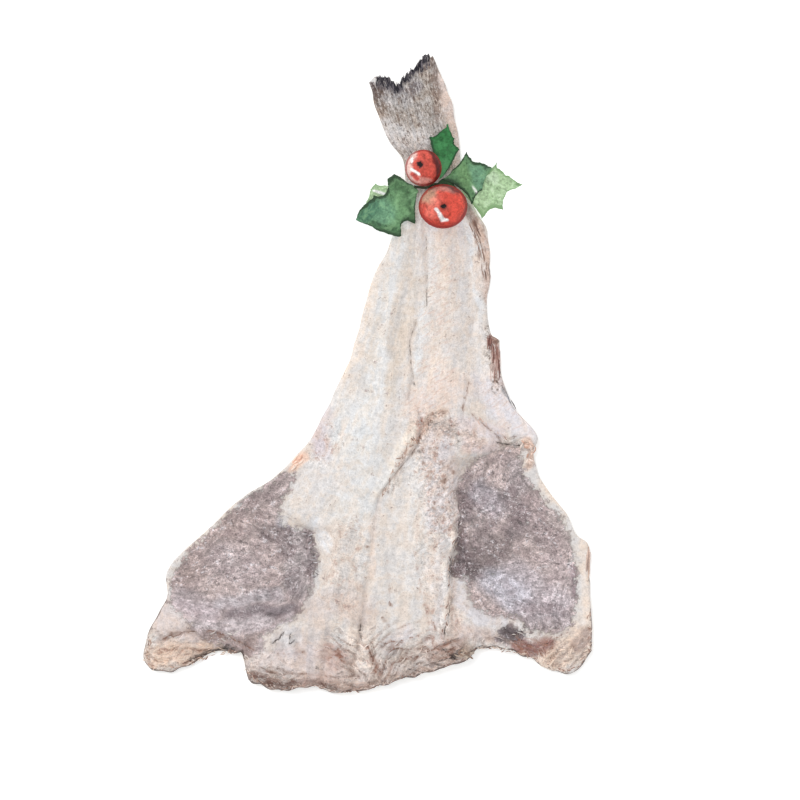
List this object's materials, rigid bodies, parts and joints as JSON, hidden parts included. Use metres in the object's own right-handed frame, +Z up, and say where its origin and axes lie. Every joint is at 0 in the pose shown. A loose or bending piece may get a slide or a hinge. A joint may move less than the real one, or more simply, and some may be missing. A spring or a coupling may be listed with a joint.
{
  "type": "salted dried cod",
  "caption": "Whole salted dried cod, split and opened flat with thick loins, thin belly walls and a ragged tail fin, with a holly sprig on the tail stalk.",
  "frame": {"origin": "middle of the plan of the whole, on the surface it lies on", "axes": "+Y along the fish towards the tail, +X across it, +Z up out of the cut flesh"},
  "size_m": [0.4478, 0.639, 0.048],
  "materials": {
    "dried_flesh": "matt dried flesh with salt",
    "pale_leaf": "satin",
    "green_leaf": "satin",
    "dark_leaf": "satin",
    "berry": "satin gloss",
    "twig": "matt"
  },
  "bodies": {
    "root": {"cod": "dried_flesh", "leaf_left_pale": "pale_leaf", "leaf_left": "green_leaf", "leaf_right_pale": "pale_leaf", "leaf_top": "green_leaf", "leaf_base": "dark_leaf", "leaf_right": "green_leaf", "berry_upper": "berry", "berry_lower": "berry", "twig": "twig"}
  },
  "joints": []
}
